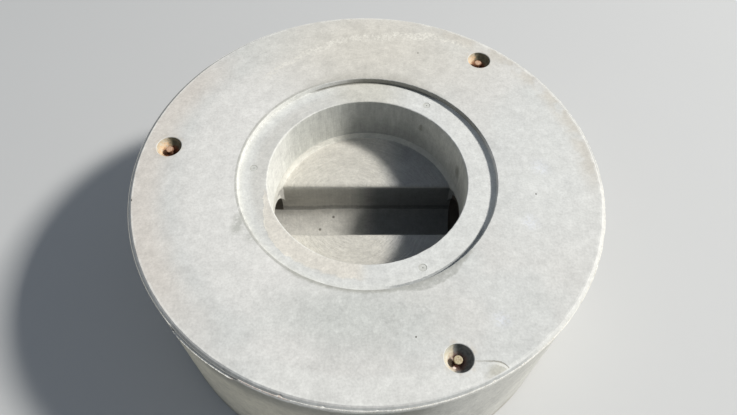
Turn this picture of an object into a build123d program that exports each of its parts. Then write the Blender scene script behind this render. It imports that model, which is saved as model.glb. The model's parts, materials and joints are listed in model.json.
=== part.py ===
# Precast concrete manhole base with a flow channel and three cast-in lifting anchors
import os
from math import cos, radians, sin

from build123d import *

# Overall casting, mm; the origin is at the middle of the underside and +Z points up
OUTER_DIAMETER = 1162.0
HEIGHT = 480.0
TOP_BEVEL_WIDTH = 9.0
TOP_BEVEL_DROP = 7.0
BOTTOM_EDGE_CHAMFER = 4.0

# Thin fin left all round at the foot of the bevel, where the parts of the mould met
FIN_PROUD = 1.5
FIN_HEIGHT = 3.0

# Seat for a riser or a cover frame, and the shaft below it
SEAT_DIAMETER = 642.0
SEAT_DEPTH = 16.0
SHAFT_DIAMETER = 500.0
OPENING_EDGE_CHAMFER = 1.5

# Flow channel and pipe passages, level and along X
PIPE_INSIDE_DIAMETER = 150.0
PIPE_AXIS_DEPTH = 252.0
PIPE_OUTSIDE_DIAMETER = 160.0
SOCKET_CLEARANCE = 2.0
SOCKET_DEPTH = 90.0
SOCKET_EDGE_CHAMFER = 3.0

# Benches beside the channel, falling towards it, with a narrow cove along the wall
BENCH_DEPTH_AT_WALL = 161.0
BENCH_FALL = 0.05
BENCH_EDGE_RADIUS = 12.0
COVE_ON_WALL = 15.0
COVE_ON_BENCH = 6.0

# Round-headed lifting anchors, each in the middle of a dished pocket
ANCHOR_COUNT = 3
ANCHOR_TO_SIDE = 71.0
FIRST_ANCHOR_ANGLE = 51.1
ANCHOR_LENGTH = 120.0
HEAD_DIAMETER = 19.0
HEAD_RIM = 3.0
HEAD_TAPER = 5.0
HEAD_BELOW_TOP = 10.0
HEAD_EDGE_CHAMFER = 1.0
SHANK_DIAMETER = 10.0
FOOT_DIAMETER = 25.0
FOOT_RIM = 4.0
FOOT_TAPER = 7.0
POCKET_MOUTH_DIAMETER = 62.0
POCKET_DEPTH = 30.0
POCKET_EDGE_CHAMFER = 1.5

# Round marks of the mould pins, near the middle of the seat, each with a small dimple
MARK_OUT_FROM_MIDDLE = 1.5
FIRST_MARK_ANGLE = 55.5
MARK_DIAMETER = 19.0
MARK_DEPTH = 0.8
DIMPLE_DIAMETER = 3.0
DIMPLE_DEPTH = 2.5

# Values that follow from the ones above
outer_radius = OUTER_DIAMETER / 2
shaft_radius = SHAFT_DIAMETER / 2
seat_radius = SEAT_DIAMETER / 2
pipe_radius = PIPE_INSIDE_DIAMETER / 2
socket_diameter = PIPE_OUTSIDE_DIAMETER + SOCKET_CLEARANCE
seat_height = HEIGHT - SEAT_DEPTH
pipe_axis_height = HEIGHT - PIPE_AXIS_DEPTH
bench_height_at_wall = HEIGHT - BENCH_DEPTH_AT_WALL
bench_height_at_channel = bench_height_at_wall - BENCH_FALL * (shaft_radius - pipe_radius)
anchor_circle_radius = outer_radius - ANCHOR_TO_SIDE
mark_circle_radius = (shaft_radius + seat_radius) / 2 + MARK_OUT_FROM_MIDDLE
angle_between_anchors = 360.0 / ANCHOR_COUNT


def points_on_circle(circle_radius, first_angle):
    """Middle of each of the equally spaced anchors or marks, seen from above."""
    points = []
    for index in range(ANCHOR_COUNT):
        angle = radians(first_angle + index * angle_between_anchors)
        points.append((circle_radius * cos(angle), circle_radius * sin(angle)))
    return points


def anchor_solid():
    """One forged anchor turned about Z, its head's flat top at the origin."""
    head_radius = HEAD_DIAMETER / 2
    shank_radius = SHANK_DIAMETER / 2
    foot_radius = FOOT_DIAMETER / 2
    with BuildPart() as anchor:
        with BuildSketch(Plane.XZ):
            with BuildLine():
                Polyline(
                    (0, 0),
                    (head_radius - HEAD_EDGE_CHAMFER, 0),
                    (head_radius, -HEAD_EDGE_CHAMFER),
                    (head_radius, -HEAD_RIM),
                    (shank_radius, -HEAD_RIM - HEAD_TAPER),
                    (shank_radius, FOOT_RIM + FOOT_TAPER - ANCHOR_LENGTH),
                    (foot_radius, FOOT_RIM - ANCHOR_LENGTH),
                    (foot_radius, -ANCHOR_LENGTH),
                    (0, -ANCHOR_LENGTH),
                    close=True,
                )
            make_face()
        revolve(axis=Axis.Z)
    return anchor.part


def casting_blank():
    """Round block with the bevelled top edge, the mould fin and the seat."""
    bevel_foot = HEIGHT - TOP_BEVEL_DROP
    fin_foot = bevel_foot - FIN_HEIGHT
    fin_crest = bevel_foot - FIN_HEIGHT / 3
    with BuildPart() as blank:
        with BuildSketch(Plane.XZ):
            with BuildLine():
                Polyline(
                    (0, 0),
                    (outer_radius - BOTTOM_EDGE_CHAMFER, 0),
                    (outer_radius, BOTTOM_EDGE_CHAMFER),
                    (outer_radius, fin_foot),
                    (outer_radius + FIN_PROUD, fin_crest),
                    (outer_radius, bevel_foot),
                    (outer_radius - TOP_BEVEL_WIDTH, HEIGHT),
                    (seat_radius, HEIGHT),
                    (seat_radius, seat_height),
                    (0, seat_height),
                    close=True,
                )
            make_face()
        revolve(axis=Axis.Z)
    return blank.part


def shaft_void():
    """Space in the shaft: U-shaped channel, two sloping benches and the cove round them.

    The section across the channel is drawn once and cut to the round of the shaft. The
    cove then follows the whole junction with the wall, along each bench and down the
    corners of the channel, where the pipe passage later runs through it.
    """
    half_span = shaft_radius + COVE_ON_WALL
    bench_height_at_span = bench_height_at_wall + BENCH_FALL * COVE_ON_WALL
    with BuildPart() as void:
        with BuildSketch(Plane.YZ.offset(-half_span)) as section:
            with BuildLine():
                Polyline(
                    (pipe_radius, pipe_axis_height),
                    (pipe_radius, bench_height_at_channel),
                    (half_span, bench_height_at_span),
                    (half_span, HEIGHT),
                    (-half_span, HEIGHT),
                    (-half_span, bench_height_at_span),
                    (-pipe_radius, bench_height_at_channel),
                    (-pipe_radius, pipe_axis_height),
                )
                ThreePointArc(
                    (-pipe_radius, pipe_axis_height),
                    (0, pipe_axis_height - pipe_radius),
                    (pipe_radius, pipe_axis_height),
                )
            make_face()
            corners = section.vertices()
            noses = corners.filter_by(lambda corner: abs(corner.Y - bench_height_at_channel) < 0.1)
            fillet(noses, BENCH_EDGE_RADIUS)
        extrude(amount=2 * half_span)
        Cylinder(
            shaft_radius,
            HEIGHT,
            align=(Align.CENTER, Align.CENTER, Align.MIN),
            mode=Mode.INTERSECT,
        )
        wall = void.faces().filter_by(GeomType.CYLINDER).sort_by(Axis.Z)[-1]
        junction = wall.edges().filter_by(lambda edge: edge.center().Z < bench_height_at_wall + 1)
        chamfer(junction, COVE_ON_WALL, COVE_ON_BENCH, reference=wall)
    return void.part


def pipe_void():
    """Straight passage along X for the flow, widened at both outer ends for a pipe."""
    shoulder = outer_radius - SOCKET_DEPTH
    with BuildPart() as void:
        with Locations(Location((0, 0, pipe_axis_height), (0, 90, 0))):
            Cylinder(pipe_radius, OUTER_DIAMETER + 20)
        for side in (-1, 1):
            middle = side * (shoulder + SOCKET_DEPTH)
            with Locations(Location((middle, 0, pipe_axis_height), (0, 90, 0))):
                Cylinder(socket_diameter / 2, 2 * SOCKET_DEPTH)
    return void.part


def pocket_void():
    """Dished pocket round one anchor head, its mouth level with the origin."""
    mouth_radius = POCKET_MOUTH_DIAMETER / 2
    ball_radius = (mouth_radius**2 + POCKET_DEPTH**2) / (2 * POCKET_DEPTH)
    with BuildPart() as void:
        with Locations((0, 0, ball_radius - POCKET_DEPTH)):
            Sphere(ball_radius)
    return void.part


def mark_void():
    """Shallow round mark and its dimple, level with the origin."""
    with BuildPart() as void:
        Cylinder(MARK_DIAMETER / 2, 2 * MARK_DEPTH)
        Cylinder(DIMPLE_DIAMETER / 2, 2 * DIMPLE_DEPTH)
    return void.part


def placed_anchors():
    """The three anchors where they are cast in."""
    anchors = []
    for x, y in points_on_circle(anchor_circle_radius, FIRST_ANCHOR_ANGLE):
        anchors.append(Pos(x, y, HEIGHT - HEAD_BELOW_TOP) * anchor_solid())
    return anchors


def manhole_base(anchors):
    """The whole casting, formed closely round the anchors."""
    with BuildPart() as base:
        add(casting_blank())
        add(shaft_void(), mode=Mode.SUBTRACT)
        add(pipe_void(), mode=Mode.SUBTRACT)
        for x, y in points_on_circle(anchor_circle_radius, FIRST_ANCHOR_ANGLE):
            add(Pos(x, y, HEIGHT) * pocket_void(), mode=Mode.SUBTRACT)
        for x, y in points_on_circle(mark_circle_radius, FIRST_MARK_ANGLE):
            add(Pos(x, y, seat_height) * mark_void(), mode=Mode.SUBTRACT)

        rings = base.edges().filter_by(GeomType.CIRCLE)
        top_rings = rings.filter_by(lambda edge: abs(edge.center().Z - HEIGHT) < 0.1)
        pocket_rims = top_rings.filter_by(lambda edge: edge.radius < POCKET_MOUTH_DIAMETER)
        chamfer(pocket_rims, POCKET_EDGE_CHAMFER)

        rings = base.edges().filter_by(GeomType.CIRCLE)
        seat_rim = rings.filter_by(
            lambda edge: abs(edge.radius - seat_radius) < 0.1 and edge.center().Z > seat_height + 1
        )
        shaft_rim = rings.filter_by(
            lambda edge: abs(edge.radius - shaft_radius) < 0.1 and edge.center().Z > seat_height - 1
        )
        chamfer(seat_rim + shaft_rim, OPENING_EDGE_CHAMFER)

        socket_walls = base.faces().filter_by(
            lambda face: face.geom_type == GeomType.CYLINDER
            and abs(face.radius - socket_diameter / 2) < 0.1
        )
        socket_mouths = socket_walls.edges().filter_by(
            lambda edge: abs(edge.center().X) > outer_radius - SOCKET_DEPTH / 2
            and edge.geom_type != GeomType.LINE
        )
        chamfer(socket_mouths, SOCKET_EDGE_CHAMFER)

        for anchor in anchors:
            add(anchor, mode=Mode.SUBTRACT)
    return base.part


def main():
    """Build every piece and write one STEP file for each."""
    os.makedirs("parts", exist_ok=True)
    anchors = placed_anchors()
    export_step(manhole_base(anchors), "parts/manhole_base.step")
    for number, anchor in enumerate(anchors, start=1):
        export_step(anchor, f"parts/lifting_anchor_{number}.step")


if __name__ == "__main__":
    main()
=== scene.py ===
import json
from math import cos, degrees, pi, radians, sin

import bpy
import numpy as np
from mathutils import Matrix, Vector, noise


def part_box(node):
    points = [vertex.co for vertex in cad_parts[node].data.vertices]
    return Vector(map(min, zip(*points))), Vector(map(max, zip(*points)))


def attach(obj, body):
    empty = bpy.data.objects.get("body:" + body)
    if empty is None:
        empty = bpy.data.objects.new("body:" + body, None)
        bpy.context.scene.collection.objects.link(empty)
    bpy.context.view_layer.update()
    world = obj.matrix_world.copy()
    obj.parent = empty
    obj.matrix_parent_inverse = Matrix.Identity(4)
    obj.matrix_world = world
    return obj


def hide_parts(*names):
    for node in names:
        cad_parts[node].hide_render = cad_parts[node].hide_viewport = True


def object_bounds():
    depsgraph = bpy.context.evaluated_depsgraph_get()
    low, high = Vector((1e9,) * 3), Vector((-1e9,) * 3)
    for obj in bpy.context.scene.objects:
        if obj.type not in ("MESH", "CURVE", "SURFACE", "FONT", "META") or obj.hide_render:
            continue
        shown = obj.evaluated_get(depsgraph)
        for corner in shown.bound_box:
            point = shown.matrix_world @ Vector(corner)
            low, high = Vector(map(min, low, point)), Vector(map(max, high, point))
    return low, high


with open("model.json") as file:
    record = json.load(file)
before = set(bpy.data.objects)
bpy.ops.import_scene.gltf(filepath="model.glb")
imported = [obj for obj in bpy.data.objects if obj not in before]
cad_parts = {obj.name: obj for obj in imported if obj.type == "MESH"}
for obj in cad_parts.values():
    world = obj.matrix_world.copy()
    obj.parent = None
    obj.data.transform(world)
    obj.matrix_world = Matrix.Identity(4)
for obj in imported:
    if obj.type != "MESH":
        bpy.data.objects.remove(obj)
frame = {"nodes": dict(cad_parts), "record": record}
cad_low, cad_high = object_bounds()
nodes = frame["nodes"]
mounts = {mount["name"]: mount for mount in frame["record"]["mounts"]}

# Sizes from the frame, in metres
TOP = cad_high.z
FIN_RADIUS = cad_high.x
SEAT_RADIUS = mounts["seat_recess"]["dims"]["r_mm"] / 1000
SEAT_LEVEL = mounts["seat"]["pos_m"][2]
PIPE_RADIUS = mounts["flow_passage"]["dims"]["r_mm"] / 1000
SOCKET_RADIUS = mounts["pipe_socket_right"]["dims"]["r_mm"] / 1000
PIPE_LEVEL = mounts["flow_passage"]["pos_m"][2]
ANCHOR_NAMES = sorted(name for name in nodes if name.startswith("lifting_anchor"))
ANCHOR_BOXES = [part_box(name) for name in ANCHOR_NAMES]
ANCHOR_POINTS = [((low + high) / 2).to_2d() for low, high in ANCHOR_BOXES]
HEAD_LEVEL = ANCHOR_BOXES[0][1].z

# Sizes of the casting that the frame doesn't name
FIN_PROUD = 0.0015
SIDE_RADIUS = FIN_RADIUS - FIN_PROUD
BEVEL_WIDTH = 0.009
BEVEL_DROP = 0.007
SHAFT_RADIUS = 0.250
BENCH_LEVEL = 0.3145
BENCH_AT_CHANNEL = 0.31025
BENCH_FALL = 0.05
COVE_TOP = 0.334
POCKET_RADIUS = 0.031
POCKET_DEPTH = 0.030
POCKET_REACH = 0.034
MARK_CIRCLE_RADIUS = 0.287
MARK_RADIUS = 0.0095
FIRST_MARK_ANGLE = radians(55.5)
MARK_POINTS = [
    Vector((cos(angle), sin(angle))) * MARK_CIRCLE_RADIUS
    for angle in (FIRST_MARK_ANGLE + turn * 2 * pi / 3 for turn in range(3))
]
OPENING_CHAMFER = 0.0015
SOCKET_CHAMFER = 0.003
WORN_EDGE_RADIUS = 0.016
ANCHORS_ABOVE = 0.3
MARKS_ABOVE = 0.45

# Chips in the rim: angle from +X, depth below the top, size, bite, in degrees and metres
RIM_CHIPS = (
    (-108.0, 0.0065, 0.006, 0.0030),
    (-99.1, 0.0060, 0.004, 0.0020),
    (-88.5, 0.0050, 0.004, 0.0018),
    (-121.0, 0.0075, 0.005, 0.0016),
    (-140.0, 0.0060, 0.004, 0.0012),
    (-64.0, 0.0065, 0.005, 0.0016),
    (-33.0, 0.0060, 0.005, 0.0014),
    (12.0, 0.0060, 0.005, 0.0016),
    (48.0, 0.0065, 0.006, 0.0022),
    (101.0, 0.0060, 0.005, 0.0018),
    (149.0, 0.0065, 0.006, 0.0020),
    (-168.0, 0.0060, 0.004, 0.0015),
)

# Longest edge of the fine mesh in each part of the casting, before it is thinned
EDGE_LIMITS = {
    "elsewhere": 0.020,
    "foot": 0.030,
    "underside": 0.070,
    "shaft": 0.009,
    "passages": 0.030,
    "top face": 0.010,
    "rim": 0.0028,
    "openings": 0.0045,
    "pockets": 0.003,
    "round the anchors": 0.2,
}
SPLIT_FACTORS = (24, 12, 6, 3, 2, 1.4, 1, 1)
MOST_TRIANGLES = 192000
SHARP_ANGLE = radians(32)


# Fine mesh of the casting

def revolved_about(points, normals, axis_point, axis, reach):
    """Which triangles lie on a surface turned about an axis, as a yes or no for each."""
    least_cap = 0.99
    most_along = 0.1
    centre = points.mean(axis=1)
    arm = centre - axis_point
    arm = arm - np.outer(arm @ axis, axis)
    length = np.linalg.norm(arm, axis=1)
    tangent = np.cross(axis, arm / np.maximum(length, 1e-9)[:, None])
    along_tangent = np.abs(np.einsum("ij,ij->i", normals, tangent))
    corner_arm = points - axis_point
    corner_arm = corner_arm - (corner_arm @ axis)[..., None] * axis
    corner_reach = np.linalg.norm(corner_arm, axis=2)
    near, far = reach
    inside = (corner_reach.min(axis=1) > near) & (corner_reach.max(axis=1) < far)
    cap = np.abs(normals @ axis) > least_cap
    return inside & ~cap & (along_tangent < most_along)


def turned_surfaces():
    """Axes that parts of the casting are turned about: point, direction, reach, heights."""
    up = np.array((0.0, 0.0, 1.0))
    along = np.array((1.0, 0.0, 0.0))
    anywhere = (-1, 1)
    slack = 0.001
    found = [(np.zeros(3), up, (SHAFT_RADIUS - 0.0065, 1.0), anywhere)]
    pipe = np.array((0.0, 0.0, PIPE_LEVEL))
    found.append((pipe, along, (PIPE_RADIUS - slack, SOCKET_RADIUS + 0.006), anywhere))
    for point in ANCHOR_POINTS:
        axis_point = np.array((*point, 0.0))
        found.append((axis_point, up, (slack, POCKET_REACH), (ANCHORS_ABOVE, TOP + slack)))
    for point in MARK_POINTS:
        axis_point = np.array((*point, 0.0))
        heights = (MARKS_ABOVE, SEAT_LEVEL + slack)
        found.append((axis_point, up, (slack / 2, 2 * MARK_RADIUS), heights))
    return found


def length_limit(middle):
    """Longest edge allowed at each place: short where the eye looks for edges and chips."""
    x, y, z = middle.T
    r = np.hypot(x, y)
    limit = np.full(len(middle), EDGE_LIMITS["elsewhere"])
    limit[z < 0.010] = EDGE_LIMITS["foot"]
    limit[z < 0.001] = EDGE_LIMITS["underside"]
    limit[(r < SHAFT_RADIUS + 0.001) & (z > 0.14)] = EDGE_LIMITS["shaft"]
    passages = (np.hypot(y, z - PIPE_LEVEL) < SOCKET_RADIUS + 0.004) & (np.abs(x) > 0.26)
    limit[passages] = EDGE_LIMITS["passages"]
    limit[(z > 0.450) & (r > 0.32)] = EDGE_LIMITS["top face"]
    rim = (np.abs(r - SIDE_RADIUS + 0.004) < 0.012) & (z > TOP - 0.014)
    openings = (z > SEAT_LEVEL - 0.004) & (
        (np.abs(r - SEAT_RADIUS) < 0.006) | (np.abs(r - SHAFT_RADIUS) < 0.006)
    )
    limit[rim] = EDGE_LIMITS["rim"]
    limit[openings] = EDGE_LIMITS["openings"]
    for point in ANCHOR_POINTS:
        near = np.hypot(x - point.x, y - point.y) < POCKET_REACH
        floor = TOP - POCKET_DEPTH - 0.002
        limit[near & (z > floor)] = EDGE_LIMITS["pockets"]
        limit[near & (z < floor) & (z > ANCHORS_ABOVE)] = EDGE_LIMITS["round the anchors"]
    return limit


def split_long_edges(points, faces, surface, axes, factor):
    """One pass of splitting, with each new point set on the surface that its edge lies on."""
    corners = np.sort(faces[:, [0, 1, 1, 2, 2, 0]].reshape(-1, 2), axis=1)
    edges, edge_of = np.unique(corners, axis=0, return_inverse=True)
    edge_of = edge_of.reshape(-1, 3)
    first, second = points[edges[:, 0]], points[edges[:, 1]]
    middle = (first + second) / 2
    length = np.linalg.norm(second - first, axis=1)
    split = length > length_limit(middle) * factor
    edge_surface = np.full(len(edges), -1)
    for side in range(3):
        np.maximum.at(edge_surface, edge_of[:, side], surface)
    for index, (axis_point, axis, _, _) in enumerate(axes):
        chosen = split & (edge_surface == index)
        arms = []
        for end in (first[chosen], second[chosen], middle[chosen]):
            arm = end - axis_point
            arms.append(arm - np.outer(arm @ axis, axis))
        reaches = [np.linalg.norm(arm, axis=1) for arm in arms]
        wanted = (reaches[0] + reaches[1]) / 2
        stretch = wanted / np.maximum(reaches[2], 1e-9) - 1
        stretch[stretch > 0.5] = 0
        middle[chosen] += arms[2] * stretch[:, None]
    new_index = np.full(len(edges), -1)
    new_index[split] = len(points) + np.arange(split.sum())
    points = np.vstack((points, middle[split]))
    made, made_surface = [], []
    cut = new_index[edge_of]
    count = (cut >= 0).sum(axis=1)
    keep = count == 0
    made.append(faces[keep])
    made_surface.append(surface[keep])
    for turn in range(3):
        a, b, c = (faces[:, (turn + step) % 3] for step in range(3))
        ab, bc, ca = (cut[:, (turn + step) % 3] for step in range(3))
        one = (count == 1) & (ab >= 0)
        made += [np.stack(t, axis=1)[one] for t in ((a, ab, c), (ab, b, c))]
        made_surface += [surface[one]] * 2
        two = (count == 2) & (ca < 0)
        made += [np.stack(t, axis=1)[two] for t in ((ab, b, bc), (a, ab, bc), (a, bc, c))]
        made_surface += [surface[two]] * 3
    three = count == 3
    a, b, c = faces[three].T
    ab, bc, ca = cut[three].T
    made += [np.stack(t, axis=1) for t in ((a, ab, ca), (ab, b, bc), (ca, bc, c), (ab, bc, ca))]
    made_surface += [surface[three]] * 4
    return points, np.vstack(made), np.concatenate(made_surface)


def welded(mesh):
    """The mesh's points and triangles, with points that coincide made one."""
    grain = 1e-5
    mesh.calc_loop_triangles()
    raw = np.array([vertex.co for vertex in mesh.vertices], float)
    faces = np.array([triangle.vertices for triangle in mesh.loop_triangles], int)
    _, first, member = np.unique(
        np.round(raw / grain).astype(np.int64), axis=0, return_index=True, return_inverse=True
    )
    faces = member.reshape(-1)[faces]
    whole = (
        (faces[:, 0] != faces[:, 1]) & (faces[:, 1] != faces[:, 2]) & (faces[:, 2] != faces[:, 0])
    )
    return raw[first], faces[whole]


def fine_casting():
    """Points and triangles of the casting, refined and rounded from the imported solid."""
    points, faces = welded(nodes["manhole_base"].data)
    corners = points[faces]
    normals = np.cross(corners[:, 1] - corners[:, 0], corners[:, 2] - corners[:, 0])
    normals /= np.maximum(np.linalg.norm(normals, axis=1), 1e-15)[:, None]
    axes = turned_surfaces()
    surface = np.full(len(faces), -1)
    for index, (axis_point, axis, reach, heights) in enumerate(axes):
        member = revolved_about(corners, normals, axis_point, axis, reach)
        member &= (corners[..., 2].min(axis=1) > heights[0])
        member &= (corners[..., 2].max(axis=1) < heights[1])
        surface[member] = index
    for factor in SPLIT_FACTORS:
        points, faces, surface = split_long_edges(points, faces, surface, axes, factor)
    return points, faces


def noise_at(points, size, seed=0.0):
    """Smooth noise from -1 to 1 with features of about that size, for many points."""
    offset = Vector((seed, seed * 1.7, seed * 0.6))
    return np.array([noise.noise(Vector(point) / size + offset) for point in points])


def worn_casting(points):
    """The casting's points moved by the waves, chips and soft edges of real concrete."""
    x, y, z = points.T
    r = np.hypot(x, y)
    radial = np.stack((x, y, np.zeros(len(points))), axis=1) / np.maximum(r, 1e-9)[:, None]
    moved = points.copy()

    # The even fin of the solid gives way to the torn one, which is a piece of its own
    proud = r > SIDE_RADIUS
    moved[proud] -= radial[proud] * (r[proud] - SIDE_RADIUS)[:, None]

    # Side and shaft walls wave a little, and the benches show the trowel
    side = (np.abs(r - SIDE_RADIUS) < 0.001) & (z > 0.006) & (z < TOP - 0.012)
    wave = noise_at(points[side], 0.11, 3.0) * 0.5 + noise_at(points[side], 0.035, 5.0) * 0.2
    moved[side] -= radial[side] * (0.0005 * (1 + wave))[:, None]
    bench = (r < SHAFT_RADIUS - 0.008) & (z > BENCH_LEVEL - 0.010) & (z < COVE_TOP)
    trowel = noise_at(points[bench] * (1.0, 2.4, 1.0), 0.050, 9.0)
    moved[bench, 2] -= 0.0006 * (1 + trowel)

    # The benches' edges along the channel are worn rounder than they were cast
    worn = WORN_EDGE_RADIUS
    middle = np.array((PIPE_RADIUS + worn, BENCH_AT_CHANNEL + worn * BENCH_FALL - worn))
    arm = np.stack((np.abs(y), moved[:, 2]), axis=1) - middle
    length = np.linalg.norm(arm, axis=1)
    edge = (r < SHAFT_RADIUS) & (arm[:, 0] < 0) & (arm[:, 1] > 0)
    edge &= (length > worn) & (length < worn + 0.0035)
    rounded = middle + arm[edge] * (worn / length[edge])[:, None]
    moved[edge, 1] = np.sign(y[edge]) * rounded[:, 0]
    moved[edge, 2] = rounded[:, 1]

    # The rim above the fin is a little uneven and has lost a few chips
    rim = (r > SIDE_RADIUS - BEVEL_WIDTH - 0.003) & (z > TOP - BEVEL_DROP - 0.001)
    uneven = noise_at(points[rim], 0.016, 11.0) * 0.6 + noise_at(points[rim], 0.006, 13.0) * 0.4
    moved[rim] -= radial[rim] * (0.0005 * (1 + uneven))[:, None]
    for angle, level, size, depth in RIM_CHIPS:
        at = np.array((cos(radians(angle)), sin(radians(angle)), 0)) * SIDE_RADIUS
        at[2] = TOP - level
        share = 1 - np.linalg.norm(points - at, axis=1) / size
        hit = share > 0
        moved[hit] -= radial[hit] * (depth * share[hit] ** 0.7)[:, None]

    # Rims of the seat and of the shaft are slightly soft and wavy
    for radius, level, deep in ((SEAT_RADIUS, TOP, 1.0), (SHAFT_RADIUS, SEAT_LEVEL, 1.2)):
        ring = (np.abs(r - radius) < 0.0035) & (np.abs(z - level) < 0.0025)
        soft = noise_at(points[ring], 0.012, radius * 40)
        moved[ring] += radial[ring] * (0.0004 * deep * (1 + soft))[:, None]
        moved[ring, 2] -= 0.00025 * deep * (1 + soft)
    return moved


def zones_of(points, faces):
    """Material of each triangle of the casting: 0 for outside, 1 for inside, 2 for pockets."""
    x, y, z = points[faces].mean(axis=1).T
    below_top = z < TOP - 0.00001
    within = np.hypot(x, y) < SEAT_RADIUS + OPENING_CHAMFER
    passage = np.hypot(y, z - PIPE_LEVEL) < SOCKET_RADIUS + SOCKET_CHAMFER
    zones = np.zeros(len(faces), np.int32)
    zones[(within | passage) & below_top & (z > 0.001)] = 1
    for point in ANCHOR_POINTS:
        near = np.hypot(x - point.x, y - point.y) < POCKET_RADIUS + OPENING_CHAMFER
        zones[near & below_top & (z > ANCHORS_ABOVE)] = 2
    return zones


def mesh_piece(name, points, faces, materials, zones):
    """A new piece of the object on its one body, thinned if it has too many triangles."""
    mesh = bpy.data.meshes.new(name)
    mesh.from_pydata(points.tolist(), [], faces.tolist())
    for material in materials:
        mesh.materials.append(material)
    mesh.polygons.foreach_set("material_index", zones)
    mesh.validate()
    piece = bpy.data.objects.new(name, mesh)
    bpy.context.scene.collection.objects.link(piece)
    if len(faces) > MOST_TRIANGLES:
        modifier = piece.modifiers.new("thinning", "DECIMATE")
        modifier.ratio = MOST_TRIANGLES / len(faces)
        with bpy.context.temp_override(object=piece, active_object=piece):
            bpy.ops.object.modifier_apply(modifier=modifier.name)
        for vertex in piece.data.vertices:
            vertex.co.z = min(max(vertex.co.z, 0.0), TOP)
    piece.data.shade_smooth()
    piece.data.set_sharp_from_angle(angle=SHARP_ANGLE)
    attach(piece, "root")
    return piece


def torn_fin(material):
    """Thin ragged fin of hardened cement at the foot of the bevel, torn away in places.

    At the front left it widens to a thin sheet, and at the front slurry has run below it.
    Angles are in degrees from +X.
    """
    steps = 2400
    sheet_angle, sheet_half = 233.3, 9.2
    slurry_angle, slurry_half = 282.0, 28.0
    least_proud = 0.0001
    foot = TOP - BEVEL_DROP
    slope = BEVEL_DROP / BEVEL_WIDTH
    inner = SIDE_RADIUS - 0.0045
    ring = []
    for index in range(steps):
        angle = 2 * pi * index / steps
        around = Vector((cos(angle), sin(angle), 0))
        coarse = noise.noise(around * 14.0)
        ragged = noise.noise(around * 95.0 + Vector((4, 0, 0)))
        crumb = noise.noise(around * 260.0 + Vector((0, 9, 0)))
        left = max(0.0, min(1.0, (-around.x - 0.62) / 0.12))
        torn = max(0.0, min(1.0, 0.80 + 0.9 * coarse + 0.55 * ragged - 0.5 * left))
        proud = least_proud + (FIN_PROUD - least_proud) * torn * (0.80 + 0.20 * crumb)
        wide = max(0.0, min(1.0, (sheet_half - abs(degrees(angle) - sheet_angle)) / 1.2))
        proud += 0.0036 * wide * (1.0 + 0.15 * crumb)
        merged = max(0.0, min(1.0, (slurry_half - abs(degrees(angle) - slurry_angle)) / 6.0))
        spread = max(0.0003, 0.0007 + 0.0006 * ragged + 0.0003 * crumb)
        thick = (0.0030 + 0.0018 * torn + 0.0006 * ragged) * (1 - 0.75 * wide)
        thick += merged * (0.0095 + 0.0040 * coarse + 0.0016 * ragged)
        crest = foot - 0.0010 + 0.0005 * ragged + 0.0004 * crumb - 0.0032 * wide
        section = (
            (inner, crest - thick),
            (SIDE_RADIUS - 0.0002, crest - thick),
            (SIDE_RADIUS + proud * 0.75, crest - 0.35 * thick),
            (SIDE_RADIUS + proud, crest),
            (SIDE_RADIUS + proud * (0.35 - 0.25 * wide), crest + 0.0006),
            (SIDE_RADIUS - spread * 0.5, foot + spread * 0.5 * slope + 0.0005),
            (SIDE_RADIUS - spread, foot + spread * slope + 0.0001),
            (inner, foot + 0.0010),
        )
        ring.append([(around.x * r, around.y * r, z) for r, z in section])
    points = np.array(ring)
    count = points.shape[1]
    here = np.arange(steps)[:, None] * count + np.arange(count)
    ahead = np.roll(here, -1, axis=0)
    beside = (np.roll(ahead, -1, axis=1), np.roll(here, -1, axis=1))
    faces = np.stack((here, ahead, *beside), axis=-1)
    faces = faces.reshape(-1, 4)
    zones = np.zeros(len(faces), np.int32)
    return mesh_piece("mould_fin", points.reshape(-1, 3), faces, [material], zones)


# Procedural materials

def linear(*colour):
    """A colour given as 0 to 255 on screen, as the shader's own linear values."""
    parts = [value / 255 for value in colour]
    return tuple(p / 12.92 if p <= 0.04045 else ((p + 0.055) / 1.055) ** 2.4 for p in parts)


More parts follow.
